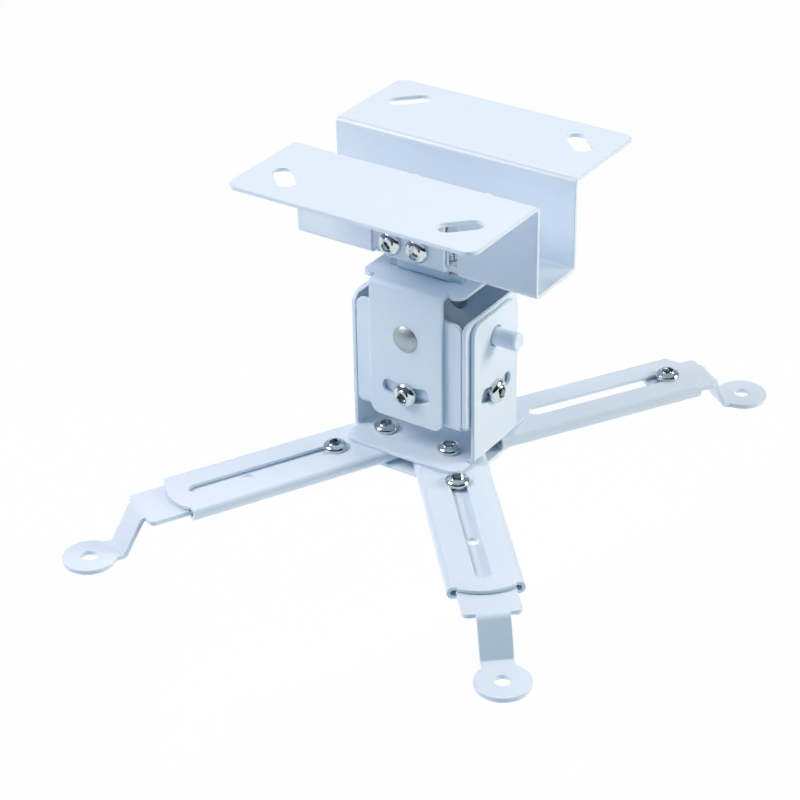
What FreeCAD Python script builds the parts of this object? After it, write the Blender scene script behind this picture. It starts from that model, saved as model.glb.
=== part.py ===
import FreeCAD, Part
import math
import os
import re
import Sketcher

# Ceiling mount for a projector: a folded hat-shaped ceiling plate, a swivelling
# upper yoke, an open cross box, a tilting lower yoke and three slotted arms whose
# sliders end in drilled eyes. The origin is the middle of the four ceiling slots,
# on the face that lies against the ceiling. Z is up and X runs along the channel.

os.makedirs("parts", exist_ok=True)
doc = FreeCAD.newDocument("ProjectorMount")
Vector = FreeCAD.Vector
Rotation = FreeCAD.Rotation
Placement = FreeCAD.Placement

SIZES = [
    # sheet metal
    ("sheet", 1.8, "thickness of the folded steel"),
    ("fold", 1.2, "inside radius of the small folds"),
    ("screw_hole", 6.5, "clearance hole and slot width for M6"),
    ("side_gap", 0.4, "clearance between nested walls"),
    # ceiling plate
    ("plate_length", 115.0, "ceiling plate along the channel"),
    ("plate_depth", 125.0, "ceiling plate across the channel"),
    ("channel_width", 31.0, "channel over its webs"),
    ("channel_height", 41.0, "ceiling face to channel bottom"),
    ("channel_fold", 0.9, "inside radius of the channel folds"),
    ("flange_corner", 5.0, "rounded corner of a flange"),
    ("slot_along", 41.0, "ceiling slot centre along the channel"),
    ("slot_across", 45.0, "ceiling slot centre across the channel"),
    ("slot_width", 8.0, "ceiling slot width"),
    ("slot_span", 10.2, "ceiling slot between end centres"),
    ("web_slot_place", 17.4, "web slot from the middle"),
    ("web_slot_width", 6.4, "web slot width"),
    ("web_slot_drop", 16.2, "ceiling face to top of a web slot"),
    ("web_slot_depth", 3.2, "how far a web slot cuts into the fold"),
    ("opening_length", 35.0, "opening in the channel bottom"),
    ("opening_depth", 20.4, "opening in the channel bottom"),
    # adapter in the channel
    ("bar_thickness", 4.0, "threaded bar"),
    ("bar_height", 10.0, "threaded bar"),
    ("bar_chamfer", 3.2, "bar edge that clears the channel fold"),
    ("bar_far", 16.5, "far end of a bar from the middle"),
    ("bar_near", 8.0, "near end of a bar from the middle"),
    ("web_screw_drop", 33.5, "ceiling face to the web screws"),
    ("web_screw_far", 11.0, "far web screw from the middle"),
    ("web_screw_near", 2.0, "near web screw from the middle"),
    ("adapter_neck", 24.6, "adapter wall where it leaves the channel"),
    ("adapter_foot", 35.0, "adapter foot along the channel"),
    ("adapter_foot_depth", 14.0, "adapter foot across the channel"),
    ("adapter_ear_drop", 42.0, "ceiling face to the underside of the ear"),
    ("adapter_top_drop", 28.5, "ceiling face to the adapter wall tops"),
    # upper yoke
    ("yoke_drop", 48.2, "ceiling face to the upper yoke plate"),
    ("yoke_plate", 49.0, "upper yoke plate along the channel"),
    ("yoke_wall", 35.4, "upper yoke wall width"),
    ("yoke_depth", 45.0, "upper yoke over its walls"),
    ("yoke_plate_depth", 36.6, "wide part of the upper yoke plate"),
    ("yoke_bottom_drop", 111.0, "ceiling face to the upper yoke's lower edge"),
    ("yoke_corner", 4.5, "rounded corners of the upper yoke"),
    ("relief", 1.2, "notch at the end of a fold"),
    ("swivel_radius", 8.0, "swivel bolt from the upright axis"),
    ("swivel_half_angle", 17.0, "half angle of a swivel slot"),
    # pivots
    ("pivot_drop", 71.6, "ceiling face to both level pivots"),
    ("arc_radius", 26.0, "lock screw from its pivot"),
    ("arc_half_angle", 18.5, "half angle of a lock slot"),
    ("rivet_radius", 3.0, "rivet shank"),
    ("rivet_head", 5.9, "rivet head radius"),
    ("rivet_dome", 2.4, "rivet head height"),
    ("rivet_tail", 3.85, "formed tail radius"),
    ("rivet_tail_height", 1.2, "formed tail height"),
    ("rivet_play", 0.05, "radial clearance in the wall that turns"),
    ("pin_radius", 4.0, "tilt pin"),
    ("pin_play", 0.5, "radial clearance round the tilt pin"),
    ("pin_reach", 10.8, "tilt pin beyond the wall"),
    ("pin_chamfer", 0.8, "chamfer of the tilt pin"),
    # cross box
    ("box_length", 55.6, "cross box along the channel"),
    ("box_top_drop", 59.5, "ceiling face to the box rim"),
    ("box_bottom_drop", 110.0, "ceiling face to the box floor"),
    ("box_corner", 4.0, "rounded top corners of the box walls"),
    ("seam", 0.4, "open seam at the box corners"),
    # lower yoke and clamp plate
    ("lower_wall", 34.0, "lower yoke wall width"),
    ("lower_top_drop", 60.5, "ceiling face to the lower yoke's tops"),
    ("lower_corner", 5.0, "rounded corners of the lower yoke"),
    ("base_drop", 123.7, "ceiling face to the base plate"),
    ("base_over_box", 1.8, "base plate longer than the cross box"),
    ("base_depth", 56.8, "base plate across the channel"),
    ("clamp_over_base", 0.2, "clamp plate longer than the base plate"),
    ("clamp_under_base", 0.8, "clamp plate narrower than the base plate"),
    ("clamp_corner", 9.0, "rounded corners of the clamp plate"),
    ("pivot_inset_along", 12.7, "front arm pivots from the base plate's ends"),
    ("pivot_inset_across", 14.2, "front arm pivots from the base plate's front"),
    ("rear_inset_along", 11.4, "rear arm pivot from the base plate's end"),
    ("rear_inset_across", 12.1, "rear arm pivot from the base plate's rear"),
    # arms
    ("arm_width", 31.0, "arm channel width"),
    ("arm_height", 5.4, "arm channel height"),
    ("arm_sheet", 1.5, "arm channel thickness"),
    ("arm_lip", 5.5, "arm edge to the free edge of its lip"),
    ("arm_start", 2.0, "rolled side behind the arm pivot"),
    ("arm_round", 12.0, "rounded inner end of an arm"),
    ("arm_nose", 100.5, "arm pivot to the bulged outer end"),
    ("arm_nose_bulge", 4.0, "bulged outer end beyond the rolled sides"),
    ("arm_nose_radius", 22.0, "radius of the bulged outer end"),
    ("arm_nose_width", 23.0, "width of the bulged outer end"),
    ("arm_slot_start", 22.5, "arm pivot to the inner slot centre"),
    ("left_slide", 1.8, "left slider's screw from the inner slot centre"),
    ("slot_to_nose", 12.2, "outer slot centre to the bulged outer end"),
    ("left_angle", -117.6, "left arm's bearing"),
    ("front_angle", -49.0, "front arm's bearing"),
    ("rear_angle", 59.2, "rear arm's bearing"),
    # sliders
    ("slider_thickness", 2.0, "slider plate"),
    ("slider_play", 0.3, "slider below the arm's inner face"),
    ("rear_slider_angle", 53.5, "bearing of the rear slider, askew in its arm"),
    ("slider_width", 23.6, "slider plate width"),
    ("slider_corner", 2.5, "slider plate corners"),
    ("slider_tail", 9.5, "slider behind its screw"),
    ("eye_reach_long", 112.7, "screw to eye of a long slider"),
    ("spare_hole_reach", 41.0, "screw to spare hole of a long slider"),
    ("spare_hole", 5.0, "core diameter of the spare hole"),
    ("eye_reach_short", 37.6, "screw to eye of the short slider"),
    ("plate_to_eye", 22.8, "end of a long slider's plate to the eye"),
    ("neck_foot", 12.4, "foot of a long slider's neck to the eye"),
    ("plate_to_eye_short", 18.7, "end of the short slider's plate to the eye"),
    ("bend_past_plate", 1.8, "flat stretch of the neck before its bend"),
    ("neck_foot_short", 10.9, "foot of the short slider's neck to the eye"),
    ("neck_width", 13.3, "width of the neck"),
    ("eye_drop", 14.8, "slider face down to the eye face"),
    ("eye_radius", 11.2, "outside of the eye"),
    ("eye_hole", 6.5, "hole of the eye"),
    # M6 hardware
    ("bolt_radius", 3.0, "M6 shank"),
    ("head_radius", 5.25, "button head"),
    ("head_height", 3.3, "button head"),
    ("head_rim", 0.9, "upright rim of the head"),
    ("socket_circle", 2.31, "socket over its corners, radius"),
    ("socket_depth", 2.1, "socket"),
    ("tip_chamfer", 0.6, "screw tip"),
    ("nut_circle", 5.77, "nut over its corners, radius"),
    ("nut_height", 5.0, "nut"),
    ("web_screw_length", 8.0, "web screws"),
    ("swivel_bolt_length", 12.0, "swivel bolts"),
    ("lock_screw_length", 10.0, "lock screws"),
    ("pivot_screw_length", 16.0, "arm pivot screws"),
    ("slide_screw_length", 6.0, "slide screws"),
    ("sleeve_radius", 5.5, "sleeve round an arm pivot screw"),
]

sheet_of_sizes = doc.addObject("Spreadsheet::Sheet", "Sizes")
for row, (alias, number, meaning) in enumerate(SIZES, start=2):
    sheet_of_sizes.set("A%d" % row, meaning)
    sheet_of_sizes.set("B%d" % row, str(number))
    sheet_of_sizes.setAlias("B%d" % row, alias)
doc.recompute()
ALIASES = {alias for alias, number, meaning in SIZES}


def formula(text):
    # the same text with each size named through the sheet
    def through_sheet(match):
        word = match.group(0)
        return "Sizes." + word if word in ALIASES else word
    return re.sub(r"[A-Za-z_]\w*", through_sheet, str(text))


def bind(thing, path, text):
    thing.setExpression(path, formula(text))


def put(thing, corner, rotation=None):
    if rotation is not None:
        thing.Placement = Placement(Vector(0, 0, 0), rotation)
    for key, text in zip("xyz", corner):
        if text != "0":
            bind(thing, "Placement.Base." + key, text)
    return thing


# Rotations that turn a tool's own Z axis. A wall tool keeps "up" on its own Y.
UPRIGHT = Rotation()
UPSIDE_DOWN = Rotation(Vector(1, 0, 0), 180)
TO_FRONT = Rotation(Vector(1, 0, 0), 90)
TO_REAR = Rotation(Vector(1, 0, 0), -90)
TO_RIGHT = Rotation(Vector(1, 1, 1), 120)
TO_LEFT = Rotation(Vector(0, 1, 0), -90)


def box(name, low, high):
    thing = doc.addObject("Part::Box", name)
    for side, first, last in zip(("Length", "Width", "Height"), low, high):
        bind(thing, side, "(%s) - (%s)" % (last, first))
    return put(thing, low)


def rod(name, foot, radius, length, rotation=UPRIGHT):
    thing = doc.addObject("Part::Cylinder", name)
    bind(thing, "Radius", radius)
    bind(thing, "Height", length)
    return put(thing, foot, rotation)


def fuse(name, pieces):
    thing = doc.addObject("Part::MultiFuse", name)
    thing.Shapes = pieces
    thing.Refine = True
    return thing


def cut(name, base, tools):
    tool = tools[0] if len(tools) == 1 else fuse(name + "_tools", tools)
    thing = doc.addObject("Part::Cut", name)
    thing.Base = base
    thing.Tool = tool
    thing.Refine = True
    return thing


def common(name, base, tool):
    thing = doc.addObject("Part::Common", name)
    thing.Base = base
    thing.Tool = tool
    thing.Refine = True
    return thing


def slot(name, centre, span, width, depth, rotation=UPRIGHT):
    # an obround bar along its own X, standing on its own Z from the centre
    half = "(%s) / 2" % span
    middle = box(name + "_middle", ("-" + half, "-(%s) / 2" % width, "0"),
                 (half, "(%s) / 2" % width, depth))
    first = rod(name + "_first", ("-" + half, "0", "0"), "(%s) / 2" % width, depth)
    last = rod(name + "_last", (half, "0", "0"), "(%s) / 2" % width, depth)
    return put(fuse(name, [middle, first, last]), centre, rotation)


def arc_slot(name, centre, radius, half_angle, depth, rotation, turn=0):
    # a slot bent round the centre, its middle on the tool's own -Y side
    outer = doc.addObject("Part::Cylinder", name + "_outer")
    bind(outer, "Radius", "%s + screw_hole / 2" % radius)
    bind(outer, "Height", depth)
    bind(outer, "Angle", "2 * %s" % half_angle)
    outer.Placement = Placement(Vector(0, 0, 0), Rotation(Vector(0, 0, 1), -90))
    bind(outer, "Placement.Rotation.Angle", "-90 - %s" % half_angle)
    inner = rod(name + "_inner", ("0", "0", "0"), "%s - screw_hole / 2" % radius, depth)
    band = cut(name + "_band", outer, [inner])
    ends = []
    for side, sign in (("first", "-"), ("last", "")):
        spot = ("%s%s * sin(%s)" % (sign, radius, half_angle),
                "-%s * cos(%s)" % (radius, half_angle), "0")
        ends.append(rod(name + "_" + side, spot, "screw_hole / 2", depth))
    whole = fuse(name, [band] + ends)
    return put(whole, centre, rotation.multiply(Rotation(Vector(0, 0, 1), turn)))


ROLES = {"XY": "XY_Plane", "XZ": "XZ_Plane", "YZ": "YZ_Plane"}


def pad(name, plane, points, low, high, rounds=()):
    # a closed outline raised between two levels, with its upright edges rounded
    body = doc.addObject("PartDesign::Body", name)
    sketch = body.newObject("Sketcher::SketchObject", name + "_outline")
    for feature in body.Origin.OriginFeatures:
        if feature.Role == ROLES[plane]:
            sketch.AttachmentSupport = [(feature, "")]
    sketch.MapMode = "FlatFace"
    start = "-(%s)" % high if plane == "XZ" else low
    bind(sketch, "AttachmentOffset.Base.z", start)
    spots = [Vector(10 * math.cos(i), 10 * math.sin(i), 0) for i in range(len(points))]
    count = len(points)
    for i in range(count):
        sketch.addGeometry(Part.LineSegment(spots[i], spots[(i + 1) % count]), False)
    for i in range(count):
        sketch.addConstraint(Sketcher.Constraint("Coincident", i, 2, (i + 1) % count, 1))
    for i, (across, up) in enumerate(points):
        for kind, text in (("DistanceX", across), ("DistanceY", up)):
            if text == "0":
                axis = -2 if kind == "DistanceX" else -1
                sketch.addConstraint(Sketcher.Constraint("PointOnObject", i, 1, axis))
                continue
            start_value = spots[i].x if kind == "DistanceX" else spots[i].y
            index = sketch.addConstraint(
                Sketcher.Constraint(kind, -1, 1, i, 1, start_value))
            bind(sketch, "Constraints[%d]" % index, text)
    raised = body.newObject("PartDesign::Pad", name + "_pad")
    raised.Profile = sketch
    bind(raised, "Length", "(%s) - (%s)" % (high, low))
    doc.recompute()
    last = raised
    for number, (corners, radius) in enumerate(rounds):
        edges = edges_at(last.Shape, sketch, corners)
        rounded = body.newObject("PartDesign::Fillet", "%s_round_%d" % (name, number))
        rounded.Base = (last, edges)
        bind(rounded, "Radius", radius)
        doc.recompute()
        body.Tip = rounded
        last = rounded
    return body


def edges_at(shape, sketch, corners):
    # names of the raised edges that pass through the given outline corners
    normal = sketch.Placement.Rotation.multVec(Vector(0, 0, 1))
    names = []
    for corner in corners:
        point = sketch.Placement.multVec(sketch.Geometry[corner].StartPoint)
        for index, edge in enumerate(shape.Edges, start=1):
            if len(edge.Vertexes) != 2:
                continue
            first, last = (vertex.Point for vertex in edge.Vertexes)
            along = last.sub(first)
            if along.cross(normal).Length > 1e-6 * along.Length:
                continue
            away = first.sub(point)
            if away.sub(normal * away.dot(normal)).Length < 1e-5:
                names.append("Edge%d" % index)
    return names


def u_points(width, drop, floor, thickness):
    # an upright U, open at the top: outer corners 1 and 2, inner corners 5 and 6
    half = "(%s) / 2" % width
    return [("-" + half, "-" + drop), ("-" + half, "-(%s)" % floor),
            (half, "-(%s)" % floor), (half, "-" + drop),
            (half + " - " + thickness, "-" + drop),
            (half + " - " + thickness, "-(%s) + %s" % (floor, thickness)),
            ("-" + half + " + " + thickness, "-(%s) + %s" % (floor, thickness)),
            ("-" + half + " + " + thickness, "-" + drop)]


def rectangle(length, depth):
    half, side = "(%s) / 2" % length, "(%s) / 2" % depth
    return [("-" + half, "-" + side), (half, "-" + side), (half, side), ("-" + half, side)]


NODES = []


def node(label, thing):
    thing.Label = label
    NODES.append((label, thing))
    return thing


def together(label, pieces):
    thing = doc.addObject("Part::Compound", label + "_set")
    thing.Links = pieces
    return node(label, thing)


# M6 button-head screw: its seat is at its own origin and its head is on +Z
def button_screw(name, seat, length, rotation=UPRIGHT):
    dome_radius = "(head_radius ^ 2 + (head_height - head_rim) ^ 2) / (2 * (head_height - head_rim))"
    blank = rod(name + "_blank", ("0", "0", "0"), "head_radius", "head_height")
    ball = doc.addObject("Part::Sphere", name + "_ball")
    bind(ball, "Radius", dome_radius)
    put(ball, ("0", "0", "head_height - " + dome_radius))
    head = common(name + "_head", blank, ball)
    shank = rod(name + "_shank", ("0", "0", "-%s + tip_chamfer" % length), "bolt_radius",
                "%s - tip_chamfer" % length)
    tip = doc.addObject("Part::Cone", name + "_tip")
    bind(tip, "Radius1", "bolt_radius - tip_chamfer")
    bind(tip, "Radius2", "bolt_radius")
    bind(tip, "Height", "tip_chamfer")
    put(tip, ("0", "0", "-" + length))
    socket = doc.addObject("Part::Prism", name + "_socket")
    socket.Polygon = 6
    bind(socket, "Circumradius", "socket_circle")
    bind(socket, "Height", "socket_depth + 1")
    put(socket, ("0", "0", "head_height - socket_depth"))
    whole = fuse(name + "_solid", [head, shank, tip])
    return put(cut(name, whole, [socket]), seat, rotation)


# M6 hexagon nut: it stands on its own origin
def hexagon_nut(name, seat, rotation=UPRIGHT):
    blank = doc.addObject("Part::Prism", name + "_blank")
    blank.Polygon = 6
    bind(blank, "Circumradius", "nut_circle")
    bind(blank, "Height", "nut_height")
    bevel = doc.addObject("Part::Cone", name + "_bevel")
    bind(bevel, "Radius1", "nut_circle + nut_height")
    bind(bevel, "Radius2", "nut_circle * 0.9")
    bind(bevel, "Height", "nut_height")
    bore = rod(name + "_bore", ("0", "0", "-1"), "bolt_radius", "nut_height + 2")
    return put(cut(name, common(name + "_hexagon", blank, bevel), [bore]), seat, rotation)


# Rivet: its head stands on its own origin on +Z, its shank runs down -Z
def rivet(name, seat, grip, rotation):
    dome_radius = "(rivet_head ^ 2 + rivet_dome ^ 2) / (2 * rivet_dome)"
    ball = doc.addObject("Part::Sphere", name + "_ball")
    bind(ball, "Radius", dome_radius)
    put(ball, ("0", "0", "rivet_dome - " + dome_radius))
    half = rod(name + "_half", ("0", "0", "0"), "rivet_head + 1", "rivet_dome + 1")
    head = common(name + "_head", ball, half)
    shank = rod(name + "_shank", ("0", "0", "-(%s)" % grip), "rivet_radius", grip)
    tail = rod(name + "_tail", ("0", "0", "-(%s) - rivet_tail_height" % grip), "rivet_tail",
               "rivet_tail_height")
    return put(fuse(name, [head, shank, tail]), seat, rotation)


# Ceiling plate: hat section, flanges against the ceiling
half_channel = "channel_width / 2"
hat = [("-plate_depth / 2", "-sheet"), ("-" + half_channel, "-sheet"),
       ("-" + half_channel, "-channel_height"), (half_channel, "-channel_height"),
       (half_channel, "-sheet"), ("plate_depth / 2", "-sheet"), ("plate_depth / 2", "0"),
       (half_channel + " - sheet", "0"), (half_channel + " - sheet", "-channel_height + sheet"),
       ("-" + half_channel + " + sheet", "-channel_height + sheet"),
       ("-" + half_channel + " + sheet", "0"), ("-plate_depth / 2", "0")]
hat_section = pad("hat_section", "YZ", hat, "-plate_length / 2", "plate_length / 2",
                  [((2, 3, 7, 10), "channel_fold + sheet"), ((1, 4, 8, 9), "channel_fold")])
hat_outline = pad("hat_outline", "XY", rectangle("plate_length", "plate_depth"),
                  "-channel_height - 1", "1", [((0, 1, 2, 3), "flange_corner")])
hat_cuts = []
for number, (right, back) in enumerate(((-1, -1), (1, -1), (-1, 1), (1, 1)), start=1):
    hat_cuts.append(slot("ceiling_slot_%d" % number,
                         ("%d * slot_along" % right, "%d * slot_across" % back, "-sheet - 1"),
                         "slot_span", "slot_width", "sheet + 2",
                         Rotation(Vector(0, 0, 1), 45 * right * back * -1)))
for number, (right, back) in enumerate(((-1, -1), (1, -1), (-1, 1), (1, 1)), start=1):
    spot = ("%d * web_slot_place" % right,
            "-channel_width / 2 + web_slot_depth" if back < 0 else "channel_width / 2 + 1",
            "-(web_slot_drop + web_slot_width / 2 + channel_height + web_slot_width) / 2")
    hat_cuts.append(slot("web_slot_%d" % number, spot,
                         "channel_height + web_slot_width / 2 - web_slot_drop",
                         "web_slot_width", "web_slot_depth + 1",
                         TO_FRONT.multiply(Rotation(Vector(0, 0, 1), 90))))
web_screw_spots = (("-web_screw_far", "-"), ("web_screw_near", "-"),
                   ("web_screw_far", ""), ("-web_screw_near", ""))
for number, (along, sign) in enumerate(web_screw_spots, start=1):
    foot = "-channel_width / 2 + sheet + 1" if sign else "channel_width / 2 + 1"
    hat_cuts.append(rod("web_hole_%d" % number, (along, foot, "-web_screw_drop"),
                        "screw_hole / 2", "sheet + 2", TO_FRONT))
hat_cuts.append(box("channel_opening",
                    ("-opening_length / 2", "-opening_depth / 2", "-channel_height - 1"),
                    ("opening_length / 2", "opening_depth / 2", "-channel_height + sheet + 1")))
hat_blank = common("hat_blank", hat_section, hat_outline)
node("ceiling_plate", cut("ceiling_plate_cut", hat_blank, hat_cuts))

# Threaded bars between the webs and the adapter walls
bar_outer = "channel_width / 2 - sheet"
bar_inner = "channel_width / 2 - sheet - bar_thickness"
bar_low = "-web_screw_drop - bar_height / 2"
bar_high = "-web_screw_drop + bar_height / 2"
for side, sign, first, last in (("front", "-", "-bar_far", "bar_near"),
                                ("rear", "", "-bar_near", "bar_far")):
    outline = [("%s(%s)" % (sign, bar_inner), bar_low),
               ("%s(%s - bar_chamfer)" % (sign, bar_outer), bar_low),
               ("%s(%s)" % (sign, bar_outer), bar_low + " + bar_chamfer"),
               ("%s(%s)" % (sign, bar_outer), bar_high),
               ("%s(%s)" % (sign, bar_inner), bar_high)]
    blank = pad("bar_blank_" + side, "YZ", outline, first, last)
    spots = [spot for spot in web_screw_spots if spot[1] == sign]
    bores = []
    for number, (along, unused) in enumerate(spots, start=1):
        foot = "-channel_width / 2 + sheet + bar_thickness + 1" if sign else "channel_width / 2"
        bores.append(rod("bar_bore_%s_%d" % (side, number), (along, foot, "-web_screw_drop"),
                         "bolt_radius", "bar_thickness + 3", TO_FRONT))
    node("adapter_bar_" + side, cut("adapter_bar_%s_cut" % side, blank, bores))

# Adapter bracket: a small U that stands on the upper yoke and reaches into the channel
adapter_width = "channel_width - 2 * sheet - 2 * bar_thickness"
adapter_u = pad("adapter_u", "YZ",
                u_points(adapter_width, "adapter_top_drop", "yoke_drop", "sheet"),
                "-adapter_foot / 2", "adapter_foot / 2",
                [((1, 2), "sheet + 1"), ((5, 6), "1")])
far_out = "channel_width"
adapter_shape = fuse("adapter_shape", [
    box("adapter_walls", ("-adapter_neck / 2", "-" + far_out, "-yoke_drop - 1"),
        ("adapter_neck / 2", far_out, "0")),
    box("adapter_ear_front", ("-bar_far", "-" + far_out, "-adapter_ear_drop"),
        ("0", "0", "0")),
    box("adapter_ear_rear", ("0", "0", "-adapter_ear_drop"), ("bar_far", far_out, "0")),
    box("adapter_foot_plate",
        ("-adapter_foot / 2", "-adapter_foot_depth / 2", "-yoke_drop - 1"),
        ("adapter_foot / 2", "adapter_foot_depth / 2", "-yoke_drop + sheet + 0.5"))])
adapter_holes = []
for number, (along, sign) in enumerate(web_screw_spots, start=1):
    foot = "0" if sign else "channel_width / 2"
    adapter_holes.append(rod("adapter_hole_%d" % number, (along, foot, "-web_screw_drop"),
                             "screw_hole / 2", "channel_width / 2", TO_FRONT))
for side, sign in (("left", "-"), ("right", "")):
    adapter_holes.append(rod("swivel_hole_" + side,
                             (sign + "swivel_radius", "0", "-yoke_drop - 1"),
                             "bolt_radius + 0.2", "sheet + 2"))
adapter_blank = common("adapter_blank", adapter_u, adapter_shape)
node("adapter_bracket", cut("adapter_bracket_cut", adapter_blank, adapter_holes))

adapter_screws = []
for number, (along, sign) in enumerate(web_screw_spots, start=1):
    adapter_screws.append(button_screw("web_screw_%d" % number,
                                       (along, sign + "channel_width / 2", "-web_screw_drop"),
                                       "web_screw_length", TO_FRONT if sign else TO_REAR))
together("adapter_screws", adapter_screws)
swivel_bolts = []
swivel_nuts = []
for side, sign in (("left", "-"), ("right", "")):
    along = sign + "swivel_radius"
    swivel_bolts.append(button_screw("swivel_bolt_" + side,
                                     (along, "0", "-yoke_drop - sheet"),
                                     "swivel_bolt_length", UPSIDE_DOWN))
    swivel_nuts.append(hexagon_nut("swivel_nut_" + side, (along, "0", "-yoke_drop + sheet")))
together("swivel_bolts", swivel_bolts)
together("swivel_nuts", swivel_nuts)

# Upper yoke: a plate with two walls folded down
yoke_low = "-yoke_bottom_drop"
half_yoke = "yoke_depth / 2"
yoke_u = pad("yoke_u", "YZ", [
    ("-" + half_yoke, yoke_low), ("-" + half_yoke, "-yoke_drop"), (half_yoke, "-yoke_drop"),
    (half_yoke, yoke_low), (half_yoke + " - sheet", yoke_low),
    (half_yoke + " - sheet", "-yoke_drop - sheet"),
    ("-" + half_yoke + " + sheet", "-yoke_drop - sheet"),
    ("-" + half_yoke + " + sheet", yoke_low)],
    "-yoke_plate / 2", "yoke_plate / 2", [((1, 2), "fold + sheet"), ((5, 6), "fold")])
yoke_plate = pad("yoke_plate_outline", "XY", rectangle("yoke_plate", "yoke_plate_depth"),
                 "-yoke_drop - sheet - 0.5", "-yoke_drop + 1", [((0, 1, 2, 3), "yoke_corner")])
half_wall = "yoke_wall / 2"
yoke_walls = pad("yoke_wall_outline", "XZ", [
    ("-" + half_wall, yoke_low), (half_wall, yoke_low), (half_wall, "-yoke_drop + 1"),
    ("-" + half_wall, "-yoke_drop + 1")], "-yoke_depth", "yoke_depth",
    [((0, 1), "yoke_corner")])
yoke_shape = fuse("yoke_shape", [yoke_plate, yoke_walls])
yoke_cuts = []
for number, (right, back) in enumerate(((-1, -1), (1, -1), (-1, 1), (1, 1)), start=1):
    first = half_wall if right > 0 else "-%s - relief" % half_wall
    near = "yoke_plate_depth / 2 - relief" if back > 0 else "-yoke_plate_depth / 2 - relief"
    yoke_cuts.append(box("yoke_relief_%d" % number, (first, near, "-yoke_drop - sheet - 1"),
                         (first + " + relief", near + " + 2 * relief", "-yoke_drop + 1")))
yoke_cuts.append(rod("yoke_rivet_holes", ("0", "yoke_depth", "-pivot_drop"),
                     "rivet_radius + rivet_play", "2 * yoke_depth", TO_FRONT))
yoke_cuts.append(arc_slot("roll_slots", ("0", "yoke_depth", "-pivot_drop"), "arc_radius",
                          "arc_half_angle", "2 * yoke_depth", TO_FRONT))
for side, turn in (("left", -90), ("right", 90)):
    yoke_cuts.append(arc_slot("swivel_slot_" + side, ("0", "0", "-yoke_drop - sheet - 1"),
                              "swivel_radius", "swivel_half_angle", "sheet + 2", UPRIGHT, turn))
yoke_blank = common("yoke_blank", yoke_u, yoke_shape)
node("upper_yoke", cut("upper_yoke_cut", yoke_blank, yoke_cuts))

# Cross box: floor with four folded walls, open at the top and at its corner seams
box_depth = "(yoke_depth - 2 * sheet - 2 * side_gap)"
box_floor = "box_bottom_drop"
front_half = "box_length / 2 - sheet - seam"
box_u_front = pad("box_u_front", "YZ", u_points(box_depth, "box_top_drop", box_floor, "sheet"),
                  "-(%s)" % front_half, front_half, [((1, 2), "fold + sheet"), ((5, 6), "fold")])
floor_half = "box_length / 2 - sheet - fold"
box_front_outline = pad("box_front_outline", "XZ", [
    ("-(%s)" % front_half, "-box_bottom_drop + sheet + fold"),
    ("-(%s)" % floor_half, "-box_bottom_drop + sheet + fold"),
    ("-(%s)" % floor_half, "-box_bottom_drop"), (floor_half, "-box_bottom_drop"),
    (floor_half, "-box_bottom_drop + sheet + fold"),
    (front_half, "-box_bottom_drop + sheet + fold"),
    (front_half, "-box_top_drop"), ("-(%s)" % front_half, "-box_top_drop")],
    "-yoke_depth", "yoke_depth", [((6, 7), "box_corner")])
box_u_side = pad("box_u_side", "XZ", u_points("box_length", "box_top_drop", box_floor, "sheet"),
                 "-%s / 2" % box_depth, "%s / 2" % box_depth,
                 [((1, 2), "fold + sheet"), ((5, 6), "fold")])
box_side_outline = pad("box_side_outline", "YZ", [
    ("-%s / 2" % box_depth, "-box_bottom_drop + sheet + fold"),
    ("-%s / 2 + sheet + fold" % box_depth, "-box_bottom_drop + sheet + fold"),
    ("-%s / 2 + sheet + fold" % box_depth, "-box_bottom_drop"),
    ("%s / 2 - sheet - fold" % box_depth, "-box_bottom_drop"),
    ("%s / 2 - sheet - fold" % box_depth, "-box_bottom_drop + sheet + fold"),
    ("%s / 2" % box_depth, "-box_bottom_drop + sheet + fold"),
    ("%s / 2" % box_depth, "-box_top_drop"), ("-%s / 2" % box_depth, "-box_top_drop")],
    "-box_length", "box_length", [((6, 7), "box_corner")])
cross_blank = fuse("cross_blank", [common("cross_front", box_u_front, box_front_outline),
                                   common("cross_side", box_u_side, box_side_outline)])
cross_cuts = []
for name, rotation, foot in (("front", TO_FRONT, ("0", "yoke_depth", "-pivot_drop")),
                             ("side", TO_RIGHT, ("-box_length", "0", "-pivot_drop"))):
    cross_cuts.append(rod("cross_pivot_" + name, foot, "rivet_radius",
                          "2 * box_length + 2 * yoke_depth", rotation))
    low = (foot[0], foot[1], "-pivot_drop - arc_radius")
    cross_cuts.append(rod("cross_lock_" + name, low, "screw_hole / 2",
                          "2 * box_length + 2 * yoke_depth", rotation))
node("cross_box", cut("cross_box_cut", cross_blank, cross_cuts))

grip = "2 * sheet + side_gap"
node("roll_rivet_front", rivet("roll_rivet_f", ("0", "-yoke_depth / 2", "-pivot_drop"), grip,
                               TO_FRONT))
node("roll_rivet_rear", rivet("roll_rivet_r", ("0", "yoke_depth / 2", "-pivot_drop"), grip,
                              TO_REAR))
lower_outer = "(box_length / 2 + side_gap + sheet)"
node("tilt_rivet_left", rivet("tilt_rivet_l", ("-" + lower_outer, "0", "-pivot_drop"), grip,
                              TO_LEFT))

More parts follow.
